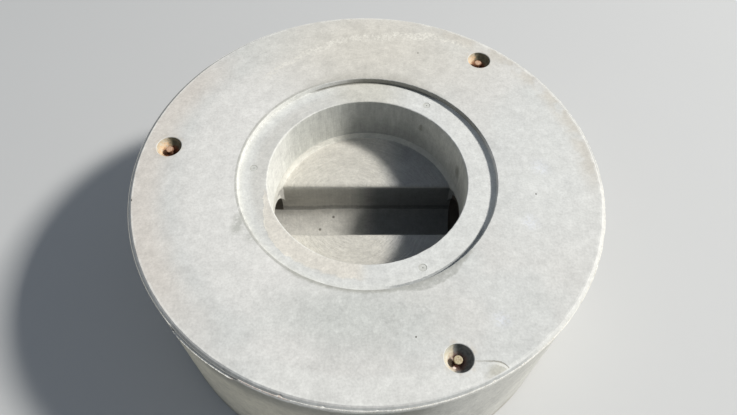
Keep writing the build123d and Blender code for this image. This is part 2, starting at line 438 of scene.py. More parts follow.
class Shading:
    """A material's nodes, written as short calls.

    Inputs are numbers, sockets or colours, and a colour is given as 0 to 255 on screen.
    """

    def __init__(self, name):
        self.material = bpy.data.materials.new(name)
        self.material.use_nodes = True
        self.tree = self.material.node_tree
        self.surface = self.tree.nodes["Principled BSDF"]
        self.place = self.node("ShaderNodeTexCoord").outputs["Object"]
        self.x, self.y, self.z = self.parts(self.place)
        self.flat = self.join(self.x, self.y, 0.0)
        self.r = self.vector("LENGTH", self.flat)
        self.angle = self.math("ARCTAN2", self.y, self.x)

    def node(self, kind, **settings):
        made = self.tree.nodes.new(kind)
        for setting, value in settings.items():
            setattr(made, setting, value)
        return made

    def feed(self, socket, value):
        if isinstance(value, bpy.types.NodeSocket):
            self.tree.links.new(value, socket)
        elif socket.type == "RGBA":
            socket.default_value = (*linear(*value), 1)
        else:
            socket.default_value = value

    def math(self, operation, *values):
        made = self.node("ShaderNodeMath", operation=operation)
        for socket, value in zip(made.inputs, values):
            self.feed(socket, value)
        return made.outputs[0]

    def vector(self, operation, *values):
        made = self.node("ShaderNodeVectorMath", operation=operation)
        for socket, value in zip(made.inputs, values):
            self.feed(socket, value)
        return made.outputs["Value" if operation in ("LENGTH", "DISTANCE") else "Vector"]

    def parts(self, vector):
        made = self.node("ShaderNodeSeparateXYZ")
        self.feed(made.inputs[0], vector)
        return made.outputs

    def join(self, x, y, z):
        made = self.node("ShaderNodeCombineXYZ")
        for socket, value in zip(made.inputs, (x, y, z)):
            self.feed(socket, value)
        return made.outputs[0]

    def noise(self, size, detail=3.0, roughness=0.55, place=None):
        """Noise from 0 to 1 whose patches are about that many metres across."""
        made = self.node("ShaderNodeTexNoise")
        self.feed(made.inputs["Vector"], self.place if place is None else place)
        for socket, value in (("Scale", 1 / size), ("Detail", detail), ("Roughness", roughness)):
            self.feed(made.inputs[socket], value)
        return made.outputs["Fac"]

    def cells(self, size):
        """Distance to the nearest of many scattered points, in cells of that size."""
        made = self.node("ShaderNodeTexVoronoi")
        self.feed(made.inputs["Vector"], self.place)
        self.feed(made.inputs["Scale"], 1 / size)
        return made.outputs["Distance"]

    def ramp(self, value, low, high):
        """0 below low and 1 above high, smooth between; low may be the larger."""
        made = self.node("ShaderNodeMapRange", interpolation_type="SMOOTHSTEP")
        for socket, number in zip(made.inputs, (value, low, high, 0.0, 1.0)):
            self.feed(socket, number)
        return made.outputs[0]

    def mix(self, share, first, second):
        made = self.node("ShaderNodeMix", data_type="RGBA")
        sockets = {socket.identifier: socket for socket in made.inputs}
        self.feed(sockets["Factor_Float"], share)
        self.feed(sockets["A_Color"], first)
        self.feed(sockets["B_Color"], second)
        return next(socket for socket in made.outputs if socket.identifier == "Result_Color")

    def scale(self, colour, factor):
        """A colour made darker or lighter."""
        made = self.node("ShaderNodeVectorMath", operation="SCALE")
        self.feed(made.inputs[0], linear(*colour) if isinstance(colour, tuple) else colour)
        self.feed(made.inputs["Scale"], factor)
        return made.outputs["Vector"]

    def vary(self, value, low, high):
        """A 0 to 1 value as a factor between low and high."""
        return self.math("MULTIPLY_ADD", value, high - low, low)

    def patches(self, size, low, high):
        """Noise of that size as patches: 0 where it is below low and 1 where above high."""
        return self.ramp(self.noise(size), low, high)

    def cloud(self, size, low, high):
        """Noise of that size as a factor between low and high."""
        return self.vary(self.noise(size), low, high)

    def frayed(self, value, size, reach, roughness=0.55):
        """A length moved either way, by up to reach, by noise of that size."""
        sway = self.vary(self.noise(size, roughness=roughness), -reach, reach)
        return self.math("ADD", value, sway)

    def distance(self, place, centre):
        """Distance of a place from a point."""
        return self.vector("LENGTH", self.vector("SUBTRACT", place, centre))

    def times(self, *values):
        """The product of all the values."""
        result = values[0]
        for value in values[1:]:
            result = self.math("MULTIPLY", result, value)
        return result

    def tint(self, colour, tone, *shares):
        """The colour drawn towards a tone, as far as all the shares together say."""
        return self.mix(self.times(*shares), colour, tone)

    def between(self, value, low, high, soft):
        """1 from low to high, fading to 0 over soft outside them."""
        rise = self.ramp(value, low - soft, low)
        fall = self.ramp(value, high + soft, high)
        return self.times(rise, fall)

    def sector(self, low, high, soft):
        """1 between two directions, in degrees from +X, fading over soft radians."""
        return self.between(self.angle, radians(low), radians(high), soft)

    def spot(self, centre, size, soft=0.5, ragged=0.0, stretch=(1.0, 1.0)):
        """A round or oval patch seen from above, with an edge that noise can fray."""
        offset = self.vector("SUBTRACT", self.flat, (*centre, 0.0))
        offset = self.vector("DIVIDE", offset, (*stretch, 1.0))
        distance = self.vector("LENGTH", offset)
        if ragged:
            distance = self.frayed(distance, max(size * 0.45, 0.002), ragged)
        return self.ramp(distance, size, size * (1 - soft))

    def finish(self, colour, roughness, height, specular=0.3):
        """Connects the results to the surface; height is in metres."""
        bump = self.node("ShaderNodeBump")
        self.feed(bump.inputs["Height"], height)
        bump.inputs["Distance"].default_value = 1.0
        self.feed(self.surface.inputs["Base Color"], colour)
        self.feed(self.surface.inputs["Roughness"], roughness)
        self.feed(self.surface.inputs["Normal"], bump.outputs[0])
        self.surface.inputs["Specular IOR Level"].default_value = specular
        return self.material


# Places of the marks and stains, in metres and degrees, read from the photograph
TOP_SPECKS = ((0.1479, 0.4242), (0.4085, -0.0671), (0.0977, -0.4304))
POCKET_CRUMB = (0.1768, -0.4880, 0.4537)
CHANNEL_GRIT = ((-0.1361, 0.0274, 0.1582), (-0.0963, 0.0574, 0.1797))
WALL_STAINS = ((0.1497, 0.2002, 0.4128, 0.010), (0.2407, 0.0675, 0.3883, 0.016))
PALE_BLOTCHES = ((0.4330, 0.0140, 0.034), (0.3830, -0.1480, 0.030), (0.2830, -0.3930, 0.028))
SMUDGES = (
    ((-0.303, -0.152), 0.032, (0.8, 1.3), 0.80),
    ((-0.270, -0.188), 0.020, (0.9, 1.2), 0.55),
)
CRACK_START = 0.2165
CRACK_BEND = 0.250
CRACK_LINE = -0.4825
CRACK_CURL = 380.0
FILM_RADIUS = 0.463
FILM_MIDDLE = radians(105)
FILM_DRIFT = 0.092
CREAM_FROM = radians(-172)
CREAM_SOFTENS = radians(-134)
CREAM_TO = radians(-97)


def mottling(s):
    """Factor for the cloudy and grainy tone of cement skin, from patches to sand grains."""
    layers = []
    for size, detail, reach in (
        (0.060, 4.0, 0.14),
        (0.022, 3.0, 0.15),
        (0.010, 3.0, 0.14),
        (0.0050, 2.0, 0.11),
        (0.0016, 2.0, 0.06),
    ):
        layers.append(s.vary(s.noise(size, detail, 0.6), 1 - reach, 1 + reach))
    return s.times(*layers)


def base_tone(s):
    """The casting's light grey, a little warmer in broad patches."""
    cooler = s.ramp(s.noise(0.21, 2.0), 0.38, 0.62)
    return s.mix(cooler, (217, 215, 209), (215, 215, 210))


def top_tones(s, top):
    """Broad zones of the top face, and a film of cement milk across its far part."""
    tone = base_tone(s)
    swirl = s.join(s.r, s.times(s.angle, 0.045), 0.0)
    arcs = s.vary(s.noise(0.011, 3.0, 0.6, place=swirl), 0.90, 1.10)
    west = s.times(s.ramp(s.x, 0.05, -0.25), s.ramp(s.r, 0.50, 0.44))
    tone = s.tint(tone, (228, 226, 220), top, west, 0.85)
    far = s.spot((0.02, 0.45), 0.40, 0.9, stretch=(1.25, 0.80))
    clouds = s.vary(s.noise(0.045, 4.0, 0.65), 0.84, 1.16)
    tone = s.tint(tone, s.scale((215, 210, 198), s.times(arcs, clouds)), top, far, 0.9)
    arc = -FILM_RADIUS - FILM_DRIFT * FILM_MIDDLE
    drift = s.math("MULTIPLY_ADD", s.angle, FILM_DRIFT, arc)
    off = s.frayed(s.math("ADD", s.r, drift), 0.07, 0.035)
    milk_film_and_pocket_shade = s.times(s.between(off, -0.007, 0.009, 0.007), s.sector(62, 124, 0.2))
    milk_film_and_pocket_shade = s.times(milk_film_and_pocket_shade, s.ramp(s.noise(0.008, 3.0, 0.65), 0.44, 0.58))
    tone = s.tint(tone, (236, 232, 220), top, milk_film_and_pocket_shade, 0.75)
    left = s.times(s.ramp(s.r, 0.475, 0.545), s.spot((-0.56, 0.00), 0.40, 0.5, stretch=(0.8, 1.5)))
    tone = s.tint(tone, (219, 212, 202), top, left, 0.85)
    front = s.spot((-0.03, -0.385), 0.21, 0.9, 0.03, stretch=(1.45, 0.62))
    tone = s.tint(tone, (205, 206, 200), top, front, 0.9)
    blots = s.times(s.vary(s.noise(0.017, 4.0, 0.7), 0.84, 1.16), s.cloud(0.006, 0.88, 1.12))
    tone = s.mix(s.times(top, front), tone, s.scale(tone, blots))
    pale = s.spot((-0.19, -0.458), 0.11, 0.9, 0.02, stretch=(1.15, 0.6))
    tone = s.tint(tone, (228, 226, 220), top, pale, 0.9)
    outer = s.times(s.between(s.r, 0.525, 0.575, 0.02), s.sector(-112, -68, 0.1))
    tone = s.tint(tone, (225, 224, 218), top, outer, 0.8)
    right = s.spot((0.41, -0.03), 0.27, 0.8, 0.03, stretch=(1.0, 1.25))
    tone = s.tint(tone, (220, 220, 215), top, right, 0.85)
    brown = s.times(s.ramp(s.r, 0.515, 0.560), s.sector(2, 62, 0.2))
    tone = s.tint(tone, (206, 200, 188), top, brown, s.patches(0.05, 0.35, 0.55), 0.7)
    for x, y, size in PALE_BLOTCHES:
        blotch = s.times(s.spot((x, y), size, 0.9, 0.014), s.patches(0.008, 0.36, 0.58))
        tone = s.tint(tone, (226, 228, 232), top, blotch, 0.6)
    return tone


def top_marks(s, colour, top):
    """Smudges, painted shade round the seat's rim, the pale line at the edge, and specks."""
    for centre, size, stretch, strength in SMUDGES:
        patch = s.times(s.spot(centre, size, 0.8, 0.016, stretch), s.patches(0.009, 0.22, 0.52))
        colour = s.tint(colour, (184, 184, 176), top, patch, strength)
    ragged = s.frayed(s.r, 0.012, 0.005)
    # Painted shade: a darker ring round the seat's rim, strongest at the front and weaker at the far
    # side.
    shaded_lip = s.ramp(ragged, SEAT_RADIUS + 0.014, SEAT_RADIUS + 0.003)
    near = s.sector(-120, -48, 0.15)
    far = s.sector(55, 150, 0.2)
    around = s.math("MAXIMUM", near, s.times(far, 0.4))
    colour = s.tint(colour, (174, 173, 164), top, shaded_lip, around, 0.90)
    # Painted shade: a darker patch just outside the seat's rim at the front right.
    bulge = s.sector(-68, -58, 0.22)
    brim = s.math("SUBTRACT", ragged, s.times(bulge, 0.016))
    front_seat_shade = s.times(
        s.ramp(brim, SEAT_RADIUS + 0.011, SEAT_RADIUS + 0.005),
        s.sector(-80, -48, 0.10),
        s.vary(s.patches(0.009, 0.36, 0.56), 0.55, 1.0),
    )
    colour = s.tint(colour, (180, 180, 173), top, front_seat_shade, 0.85)
    shade = s.times(s.ramp(ragged, SEAT_RADIUS + 0.050, SEAT_RADIUS), s.spot((0.0, 0.34), 0.24, 0.7))
    colour = s.tint(colour, (192, 188, 177), top, shade, 0.7)
    colour = dull_line(s, colour)
    rim = s.between(s.r, SIDE_RADIUS - BEVEL_WIDTH - 0.0040, SIDE_RADIUS - BEVEL_WIDTH, 0.001)
    colour = s.tint(colour, (236, 235, 228), top, rim, s.patches(0.03, 0.35, 0.60), 0.5)
    for centre in TOP_SPECKS:
        colour = s.tint(colour, (84, 80, 70), top, s.spot(centre, 0.0027, 0.5, 0.0012), 0.9)
    stray = s.times(s.ramp(s.cells(0.060), 0.0030, 0.0016), s.ramp(s.noise(0.15, 1.0), 0.50, 0.56))
    return s.tint(colour, (128, 124, 112), top, stray, 0.6)


def dull_line(s, colour):
    """Thin dull line just outside the left half of the seat's rim."""
    line = s.between(s.r, SEAT_RADIUS + 0.0003, SEAT_RADIUS + 0.0062, 0.0010)
    line = s.times(line, s.ramp(s.z, TOP - 0.0020, TOP - 0.0010), s.ramp(s.x, -0.06, -0.16))
    return s.tint(colour, (184, 183, 174), line, s.patches(0.03, 0.30, 0.50), 0.75)


def crack(s, colour, top):
    """Hairline crack from the front pocket to the rim, with a damp patch below it."""
    past_bend = s.math("MAXIMUM", s.math("SUBTRACT", s.x, CRACK_BEND), 0.0)
    curl = s.times(s.math("POWER", past_bend, 3.0), CRACK_CURL)
    line = s.frayed(s.math("SUBTRACT", CRACK_LINE, curl), 0.008, 0.0022)
    above = s.math("SUBTRACT", s.y, line)
    reach = s.times(top, s.between(s.x, CRACK_START, 0.298, 0.006))
    hair = s.times(reach, s.ramp(s.math("ABSOLUTE", above), 0.0026, 0.0004))
    below = s.ramp(above, 0.002, -0.002)
    damp_patch_and_wall_shade = s.times(s.spot((0.262, -0.508), 0.036, 0.75, 0.022, (1.0, 0.85)), below)
    colour = s.tint(colour, (186, 182, 166), top, damp_patch_and_wall_shade, 0.65)
    crescent = s.times(reach, s.between(above, -0.0065, -0.0030, 0.002), s.ramp(s.x, 0.236, 0.256))
    colour = s.tint(colour, (236, 234, 226), crescent, 0.6)
    weight = s.vary(s.ramp(s.x, CRACK_START, CRACK_BEND + 0.02), 0.30, 0.80)
    share = s.times(hair, weight, s.cloud(0.005, 0.6, 1.2))
    return s.tint(colour, (140, 135, 120), share), share


def seat_tones(s, colour):
    """Ledge of the seat: pale, with a cream film of cement milk and three pin marks."""
    ledge = s.times(
        s.between(s.z, SEAT_LEVEL - 0.003, SEAT_LEVEL + 0.002, 0.001),
        s.between(s.r, SHAFT_RADIUS, SEAT_RADIUS, 0.001),
    )
    tone = s.mix(s.ramp(s.r, 0.275, 0.305), (211, 209, 202), (218, 218, 213))
    tone = s.mix(s.ramp(s.x, -0.20, 0.05), tone, (222, 222, 217))
    tone = s.tint(tone, (209, 206, 194), s.spot((0.0, 0.29), 0.15, 0.8, 0.02), 0.9)
    streaks = s.noise(0.006, 3.0, 0.6, place=s.join(s.r, s.times(s.angle, 0.06), 0.0))
    tone = s.scale(tone, s.vary(streaks, 0.92, 1.08))
    colour = s.tint(colour, tone, ledge, 0.95)
    rise = s.ramp(s.angle, CREAM_FROM, CREAM_FROM + 0.10)
    sweep = s.times(rise, s.ramp(s.angle, CREAM_TO + 0.14, CREAM_TO))
    softer = s.ramp(s.angle, CREAM_SOFTENS, radians(-112))
    widening = s.ramp(s.angle, CREAM_FROM, radians(-137))
    edge = s.frayed(s.vary(widening, 0.2600, 0.2950), 0.020, 0.009, 0.6)
    inside = s.math("SUBTRACT", edge, s.r)
    soft = s.math("DIVIDE", inside, s.vary(softer, 0.0012, 0.0090))
    milk = s.times(ledge, sweep, s.ramp(soft, 0.0, 1.0))
    cream = s.scale((226, 220, 208), s.cloud(0.010, 0.93, 1.07))
    colour = s.tint(colour, cream, milk, 0.9)
    crisp = s.math("SUBTRACT", 1.0, softer)
    brim = s.times(ledge, sweep, crisp, s.between(inside, 0.0004, 0.0022, 0.001))
    colour = s.tint(colour, (240, 235, 222), brim, 0.7)
    for point in MARK_POINTS:
        colour = s.tint(colour, (202, 202, 195), ledge, s.spot(point, MARK_RADIUS, 0.2), 0.85)
        reach = s.distance(s.flat, (*point, 0.0))
        outline = s.between(reach, MARK_RADIUS - 0.0012, MARK_RADIUS, 0.0008)
        colour = s.tint(colour, (176, 175, 165), ledge, outline, 0.55)
        colour = s.tint(colour, (150, 148, 136), ledge, s.spot(point, 0.0018, 0.5), 0.45)
    lit_edge = s.between(s.r, SHAFT_RADIUS - 0.001, SHAFT_RADIUS + 0.003, 0.0012)
    colour = s.tint(colour, (235, 234, 226), ledge, lit_edge, s.ramp(s.x, -0.02, -0.15), 0.6)
    return seat_rim_tones(s, colour, ledge), milk


def seat_rim_tones(s, colour, ledge):
    """Upright wall of the seat with painted light at its left and painted shade at its far side,
    darker lines along its foot, painted shadow of the wall on the ledge at the front right, and the
    dull line just outside it.
    """
    wall = s.times(
        s.between(s.r, SEAT_RADIUS - 0.0006, SEAT_RADIUS + 0.0014, 0.0004),
        s.between(s.z, SEAT_LEVEL + 0.0015, TOP - 0.0014, 0.0008),
    )
    # Painted light on the left part of the seat's wall and painted shade on its far part.
    lit_seat_wall = s.times(s.ramp(s.x, -0.12, -0.20), s.ramp(s.y, -0.20, -0.14))
    dark = s.times(s.ramp(s.x, -0.10, 0.0), s.ramp(s.y, 0.06, 0.16))
    grain = s.cloud(0.012, 0.92, 1.08)
    colour = s.tint(colour, (233, 232, 225), wall, lit_seat_wall, 0.95)
    colour = s.tint(colour, s.scale((134, 132, 122), grain), wall, dark, 0.85)
    colour = dull_line(s, colour)
    fray = s.frayed(s.r, 0.006, 0.002)
    near = s.times(s.sector(-152, -92, 0.10), s.ramp(fray, 0.3180, 0.3200))
    colour = s.tint(colour, (156, 154, 144), ledge, near, 0.8)
    far = s.times(s.sector(58, 112, 0.15), s.ramp(fray, 0.3140, 0.3190))
    colour = s.tint(colour, (118, 116, 106), ledge, far, 0.8)
    # Painted shadow of the seat's wall on the ledge at the front right.
    side = s.sector(-78, -34, 0.12)
    line = s.between(fray, 0.3100, 0.3170, 0.0015)
    return s.tint(colour, (150, 152, 150), ledge, side, line, 0.75)


def wall_tones(s, colour, within):
    """Upright wall of the shaft: streaked, with painted light at the far left and painted shade at
    the right that deepens downwards, with pores and two stains.
    """
    wall = s.times(
        within,
        s.ramp(s.r, SHAFT_RADIUS - 0.0025, SHAFT_RADIUS - 0.0012),
        s.ramp(s.z, COVE_TOP - 0.002, COVE_TOP),
        s.ramp(s.z, SEAT_LEVEL - 0.0005, SEAT_LEVEL - 0.003),
    )
    around = s.times(s.angle, SHAFT_RADIUS)
    upright = s.join(around, s.times(s.z, 0.05), 0.0)
    streaks = s.noise(0.0034, 3.0, 0.6, place=upright)
    runs = s.noise(0.013, 2.0, 0.5, place=s.join(around, s.times(s.z, 0.16), 0.4))
    drawn = s.times(s.vary(streaks, 0.80, 1.20), s.vary(runs, 0.82, 1.18))
    # Painted shade over the right part of the wall, darker towards the bottom and lighter beyond x
    # 0.22.
    damp_patch_and_wall_shade = s.mix(s.ramp(s.z, 0.345, 0.455), (146, 148, 145), (184, 185, 179))
    lighter_wall_shade = s.mix(s.ramp(s.z, 0.330, 0.440), (166, 167, 163), (206, 206, 198))
    damp_patch_and_wall_shade = s.mix(s.ramp(s.x, 0.12, 0.22), damp_patch_and_wall_shade, lighter_wall_shade)
    tone = s.mix(s.ramp(s.x, -0.12, -0.01), (210, 210, 202), damp_patch_and_wall_shade)
    # Painted light on the far left part of the wall.
    tone = s.mix(s.ramp(s.x, -0.185, -0.24), tone, (238, 237, 229))
    colour = s.tint(colour, s.scale(tone, drawn), wall, 0.95)
    near_top = s.ramp(s.z, SEAT_LEVEL - 0.060, SEAT_LEVEL - 0.020)
    pores = s.times(
        wall,
        s.ramp(s.cells(0.011), 0.0023, 0.0013),
        s.ramp(s.math("ADD", s.noise(0.06, 1.0), s.times(near_top, 0.06)), 0.52, 0.58),
    )
    colour = s.tint(colour, (104, 102, 92), pores, 0.7)
    for x, y, z, size in WALL_STAINS:
        away = s.vector("DIVIDE", s.vector("SUBTRACT", s.place, (x, y, z)), (1, 1, 1.9))
        off = s.frayed(s.vector("LENGTH", away), 0.006, 0.006)
        colour = s.tint(colour, (116, 114, 102), wall, s.ramp(off, size, size * 0.3), 0.55)
    return colour, wall, streaks


def bench_tones(s, colour, low):
    """Trowelled benches and the lighter cove along them, both with painted shade over their right
    part.
    """
    bench = s.times(low, s.ramp(s.z, BENCH_LEVEL - 0.015, BENCH_LEVEL - 0.008))
    reach = s.distance(s.flat, (-0.03, -0.02, 0.0))
    sweep = s.join(reach, s.times(s.angle, 0.03), 0.0)
    trowel = s.noise(0.0065, 4.0, 0.65, place=sweep)
    bench_factor = s.times(s.vary(trowel, 0.80, 1.20), s.cloud(0.05, 0.92, 1.08))
    # Painted shade over the right part of the benches.
    tone = s.mix(s.ramp(s.x, 0.02, 0.12), (206, 202, 192), (150, 152, 154))
    colour = s.tint(colour, s.scale(tone, bench_factor), bench, 0.95)
    cove = s.times(
        low,
        s.ramp(s.r, SHAFT_RADIUS - 0.0075, SHAFT_RADIUS - 0.0062),
        s.ramp(s.z, 0.300, 0.312),
    )
    # Lighter cove, with painted shade over its right part.
    tone = s.mix(s.ramp(s.x, -0.10, 0.02), (226, 224, 214), (176, 178, 174))
    colour = s.tint(colour, tone, cove, 0.85)
    return colour, bench, trowel


def channel_tones(s, colour, low, level, silt):
    """Duller channel with painted shade over its right part and higher up its walls, a darker band
    low on its walls, specks and grit.
    """
    channel = s.times(low, s.ramp(s.z, BENCH_LEVEL - 0.008, BENCH_LEVEL - 0.015))
    crossways = s.join(s.x, s.times(s.y, 0.1), 0.0)
    down = s.vary(s.noise(0.0045, 3.0, 0.6, place=crossways), 0.88, 1.12)
    # Painted shade over the right part of the channel, and darker higher up its walls.
    tone = s.mix(s.ramp(s.x, -0.06, 0.04), (194, 191, 183), (104, 107, 108))
    tone = s.scale(tone, s.vary(s.ramp(s.z, 0.195, 0.235), 1.0, 0.92))
    colour = s.tint(colour, s.scale(tone, s.times(silt, down)), channel, 0.95)
    # A darker band low on the channel's walls, with a sharp lower edge.
    channel_dark_band = s.times(low, s.ramp(level, 0.218, 0.209), s.ramp(level, 0.1985, 0.2005))
    channel_dark_band = s.times(channel_dark_band, s.cloud(0.03, 0.6, 1.1))
    colour = s.mix(channel_dark_band, colour, s.scale(colour, 0.52))
    specks = s.times(low, s.ramp(s.cells(0.034), 0.0042, 0.0022))
    colour = s.tint(colour, (98, 94, 82), specks, 0.65)
    for centre in CHANNEL_GRIT:
        away = s.distance(s.place, centre)
        colour = s.tint(colour, (84, 80, 70), s.ramp(away, 0.0050, 0.0025), 0.8)
    return colour, channel, channel_dark_band


def passage_tones(s, colour, level, silt):
    """Painted shade inside the passages, except the left one's floor, in the channel floor's tone,
    and its collar, in painted light.
    """
    off = s.vector("LENGTH", s.join(0.0, s.y, s.math("SUBTRACT", s.z, PIPE_LEVEL)))
    passage = s.times(
        s.ramp(s.math("ABSOLUTE", s.x), SHAFT_RADIUS - 0.0095, SHAFT_RADIUS - 0.0080),
        s.ramp(off, SOCKET_RADIUS + 0.008, SOCKET_RADIUS + 0.003),
    )
    # Painted shade fills both passages; only the left one's floor keeps the channel floor's tone.
    floor = s.times(s.ramp(level, 0.2025, 0.1985), s.ramp(s.x, 0.10, 0.0))
    passage_light_and_shade = s.mix(floor, (62, 56, 47), (200, 197, 189))
    # Painted light on the collar at the mouth of the left passage.
    collar = s.times(s.ramp(level, 0.270, 0.276), s.ramp(s.x, 0.10, 0.0), s.ramp(s.x, -0.30, -0.27))
    passage_light_and_shade = s.mix(collar, passage_light_and_shade, (222, 220, 210))
    return s.tint(colour, s.scale(passage_light_and_shade, silt), passage, 0.95)


def side_tones(s, colour):
    """Outer wall: grey clouds, warmer at the left, painted shade at the front left, pores, a soiled
    foot, a pale band above.
    """
    side = s.times(
        s.ramp(s.r, SIDE_RADIUS - 0.004, SIDE_RADIUS - 0.002),
        s.ramp(s.z, TOP - BEVEL_DROP, TOP - BEVEL_DROP - 0.002),
    )
    run = s.times(s.angle, SIDE_RADIUS)
    around = s.join(run, s.z, 0.0)
    clouds = s.vary(s.noise(0.16, 4.0, 0.6, place=around), 0.72, 1.28)
    blots = s.vary(s.noise(0.022, 4.0, 0.65, place=around), 0.88, 1.12)
    upright = s.join(run, s.times(s.z, 0.06), 0.0)
    runs = s.vary(s.noise(0.014, 3.0, 0.6, place=upright), 0.90, 1.10)
    warm = s.ramp(s.x, 0.15, -0.25)
    tone = s.mix(warm, (216, 214, 205), (219, 213, 194))
    # Painted shade on the front left of the wall, below the fin.
    dark = s.times(s.sector(-122, -82, 0.20), s.ramp(s.z, 0.36, 0.44))
    tone = s.tint(tone, (158, 156, 145), dark, 0.8)
    colour = s.tint(colour, s.scale(tone, s.times(clouds, blots, runs)), side, 0.95)
    porous = s.ramp(s.noise(0.09, 2.0), 0.48, 0.58)
    pores = s.times(side, s.ramp(s.cells(0.016), 0.0030, 0.0019), porous)
    colour = s.tint(colour, (104, 100, 88), pores, 0.7)
    foot = s.frayed(s.z, 0.06, 0.060)
    colour = s.tint(colour, (160, 153, 134), side, s.ramp(foot, 0.065, 0.010), 0.5)
    frayed = s.frayed(s.z, 0.012, 0.008)
    band = s.ramp(frayed, TOP - 0.034, TOP - 0.016)
    patchy = s.math("ADD", s.noise(0.05, 2.0, place=around), s.ramp(s.x, -0.40, -0.05))
    colour = s.tint(colour, (251, 250, 243), side, band, s.ramp(patchy, 0.60, 0.95), 0.95)
    return colour, side, pores


def bevel_tones(s, colour):
    """The bevel at the top edge: dull grey, with painted shade at the front left and painted light
    at the right.
    """
    bevel = s.times(
        s.between(s.z, TOP - BEVEL_DROP, TOP - 0.0008, 0.0004),
        s.ramp(s.r, SIDE_RADIUS - BEVEL_WIDTH + 0.0020, SIDE_RADIUS - BEVEL_WIDTH + 0.0042),
    )
    # Painted shade at the front left of the bevel, painted light at its right.
    shaded_bevel = s.sector(-132, -110, 0.14)
    clean_pocket_and_lit_bevel = s.sector(-50, -6, 0.14)
    tone = s.mix(s.times(shaded_bevel, 0.85), (184, 185, 181), (144, 145, 142))
    tone = s.mix(s.times(clean_pocket_and_lit_bevel, 0.90), tone, (221, 220, 213))
    return s.tint(colour, s.scale(tone, s.cloud(0.009, 0.80, 1.20)), bevel, 0.9)


def pocket_stains(s, colour, top):
    """Faint tan stain on the top face round each pocket."""
    for point in ANCHOR_POINTS:
        reach = s.distance(s.flat, (*point, 0.0))
        halo = s.times(top, s.ramp(reach, POCKET_RADIUS + 0.016, POCKET_RADIUS))
        halo = s.times(halo, s.patches(0.015, 0.40, 0.70))
        colour = s.tint(colour, (200, 178, 146), halo, 0.35)
    return colour


def pocket_tones(s, colour):
    """Dished pockets with painted shadow, dull grey, over the right part of their walls, pale tan on
    their left walls, and rust gathered below.
    """
    for point in ANCHOR_POINTS:
        reach = s.distance(s.flat, (*point, 0.0))
        across = s.math("SUBTRACT", s.x, point.x)
        inside = s.times(
            s.ramp(reach, POCKET_RADIUS + 0.0012, POCKET_RADIUS),
            s.ramp(s.z, TOP - 0.0006, TOP - 0.0020),
            s.ramp(s.z, 0.38, 0.40),
        )
        frayed = s.frayed(across, 0.010, 0.008)
        clean_pocket_and_lit_bevel = point.x > 0 and point.y < 0
        if clean_pocket_and_lit_bevel:
            dark, dull = (104, 107, 106), (126, 128, 126)
            pale, tan = (216, 213, 200), (208, 202, 180)
        else:
            dark, dull = (108, 106, 88), (134, 130, 110)
            pale, tan = (220, 211, 190), (212, 194, 164)
        # Painted shadow, dull grey, over the right part of each pocket's wall; pale tan on the left
        # wall.
        milk_film_and_pocket_shade = s.mix(s.patches(0.009, 0.36, 0.62), dark, dull)
        cream = s.mix(s.patches(0.008, 0.38, 0.62), pale, tan)
        milk_film_and_pocket_shade = s.mix(s.ramp(frayed, -0.005, -0.011), milk_film_and_pocket_shade, cream)
        depth = s.frayed(s.z, 0.007, 0.006, 0.6)
        rust = 0.40 if clean_pocket_and_lit_bevel else 0.80
        warm = s.times(s.ramp(depth, TOP - 0.005, TOP - 0.016), s.ramp(frayed, 0.0, -0.010))
        milk_film_and_pocket_shade = s.tint(milk_film_and_pocket_shade, (240, 196, 148), warm, s.patches(0.006, 0.34, 0.58), rust - 0.25)
        milk_film_and_pocket_shade = s.tint(milk_film_and_pocket_shade, (122, 66, 38), s.ramp(depth, TOP - 0.018, TOP - 0.026), rust)
        milk_film_and_pocket_shade = s.mix(s.ramp(depth, TOP - 0.024, TOP - 0.030), milk_film_and_pocket_shade, (64, 30, 18))
        if clean_pocket_and_lit_bevel:
            away = s.distance(s.place, POCKET_CRUMB)
            milk_film_and_pocket_shade = s.tint(milk_film_and_pocket_shade, (240, 222, 210), s.ramp(away, 0.0044, 0.0028), 0.9)
        streak = s.times(s.ramp(s.noise(0.005, 3.0, 0.7), 0.56, 0.70), s.ramp(s.z, TOP, TOP - 0.012))
        left = s.ramp(frayed, 0.002, -0.012)
        milk_film_and_pocket_shade = s.tint(milk_film_and_pocket_shade, (196, 146, 98), streak, left, rust - 0.25)
        grit = s.ramp(s.cells(0.009), 0.0020, 0.0011)
        milk_film_and_pocket_shade = s.tint(milk_film_and_pocket_shade, (222, 216, 200), grit, s.patches(0.012, 0.54, 0.62), 0.6)
        colour = s.mix(inside, colour, milk_film_and_pocket_shade)
    return colour


def concrete_surface(s, colour, forms):
    """Connects a concrete colour, and a height of fine grain and the given forms."""
    height = s.times(s.noise(0.0022, 3.0, 0.6), 0.00022)
    for share, form, depth in ((1.0, s.noise(0.012), 0.00035), *forms):
        height = s.math("ADD", height, s.times(share, form, depth))
    return s.finish(colour, s.cloud(0.03, 0.78, 0.95), height)


def outer_concrete():
    """The top face, the bevel and the outer wall."""
    s = Shading("outer_concrete")
    top = s.ramp(s.z, TOP - 0.0012, TOP - 0.0006)
    colour = top_tones(s, top)
    colour = top_marks(s, colour, top)
    colour, hair = crack(s, colour, top)
    colour, side, pores = side_tones(s, colour)
    colour = s.scale(bevel_tones(s, colour), mottling(s))
    colour = pocket_stains(s, colour, top)
    forms = (
        (side, s.noise(0.030), 0.0008),
        (pores, 1.0, -0.0008),
        (hair, 1.0, -0.0008),
    )
    return concrete_surface(s, colour, forms)


